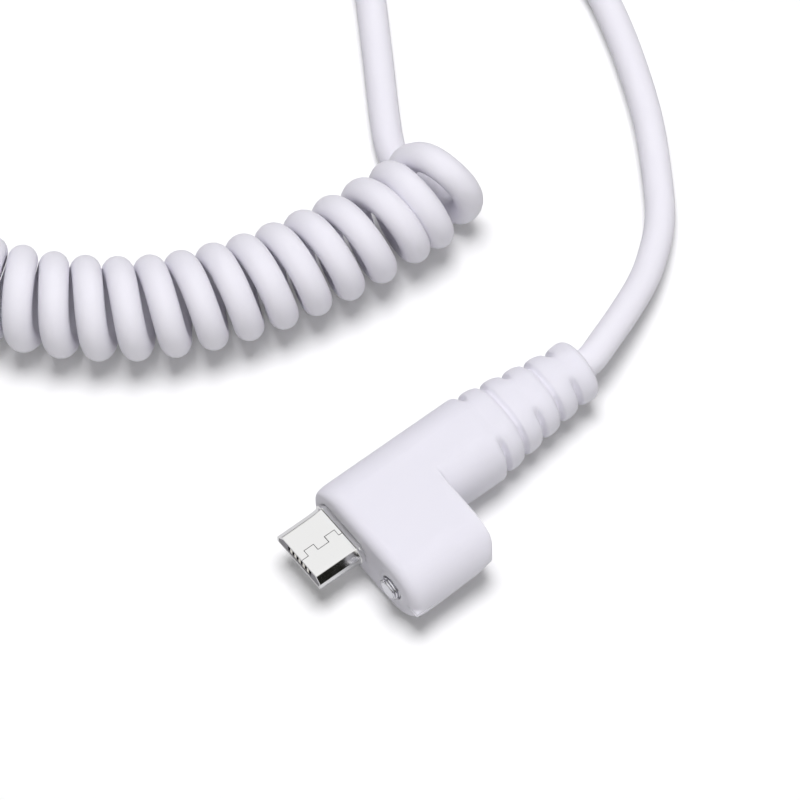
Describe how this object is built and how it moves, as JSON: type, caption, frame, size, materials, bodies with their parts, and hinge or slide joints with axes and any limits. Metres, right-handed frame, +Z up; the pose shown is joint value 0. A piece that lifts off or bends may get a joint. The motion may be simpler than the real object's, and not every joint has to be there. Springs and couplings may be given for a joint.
{
  "type": "coiled micro-usb cable",
  "caption": "Curly charging cable with a micro USB plug in a moulded block that has a side lock screw and a ribbed strain relief, and a USB-A plug at the far end.",
  "frame": {"origin": "middle of the lock-screw plug's bounding box, on the surface that it lies on", "axes": "-Y the way the micro plug goes in, +Y back towards its cord, +X from the flush side to the lock-screw ear, +Z up through the narrow face of the shell"},
  "size_m": [0.0989, 0.092, 0.0102],
  "materials": {
    "moulding": "satin lavender white",
    "jacket": "satin lavender white",
    "plated_shell": "bright nickel plate",
    "screw_steel": "bright nickel plate",
    "insulator": "matt grey",
    "white_insulator": "matt white",
    "contacts": "gold plate",
    "inner_moulding": "matt natural",
    "crimp_brass": "plain",
    "wire_red": "matt",
    "wire_white": "matt",
    "wire_green": "matt",
    "wire_black": "matt"
  },
  "bodies": {
    "cable": {"plug_body": "moulding", "plug_shell": "plated_shell", "plug_insulator": "insulator", "contact_vbus": "contacts", "contact_data_minus": "contacts", "contact_data_plus": "contacts", "contact_id": "contacts", "contact_ground": "contacts", "inner_mould": "inner_moulding", "crimp_ring": "crimp_brass", "jacket_end": "jacket", "wire_red": "wire_red", "wire_white": "wire_white", "wire_green": "wire_green", "wire_black": "wire_black", "screw_bush": "crimp_brass", "plug_lead": "jacket", "coil_cord": "jacket", "tail_lead": "jacket", "far_body": "moulding", "far_shell": "plated_shell", "far_insulator": "white_insulator", "far_contact_vbus": "contacts", "far_contact_data_minus": "contacts", "far_contact_data_plus": "contacts", "far_contact_ground": "contacts", "far_inner_mould": "inner_moulding", "far_crimp_ring": "crimp_brass", "far_jacket_end": "jacket"},
    "screw": {"lock_screw": "screw_steel"},
    "latch_arm_left": {"latch_left": "plated_shell"},
    "latch_arm_right": {"latch_right": "plated_shell"}
  },
  "joints": [
    {"name": "lock_screw_spin", "type": "hinge", "parent": "cable", "child": "screw", "pos_m": [0.00432, -0.008, 0.0043], "axis": [0, 1, 0], "continuous": true},
    {"name": "latch_left_flex", "type": "hinge", "parent": "cable", "child": "latch_arm_left", "pos_m": [-0.00598, -0.01255, 0.0037], "axis": [-1, 0, 0], "range_deg": [0, 8], "stiffness_Nm_per_rad": 0.03},
    {"name": "latch_right_flex", "type": "hinge", "parent": "cable", "child": "latch_arm_right", "pos_m": [-0.00108, -0.01255, 0.0037], "axis": [-1, 0, 0], "range_deg": [0, 8], "stiffness_Nm_per_rad": 0.03}
  ]
}
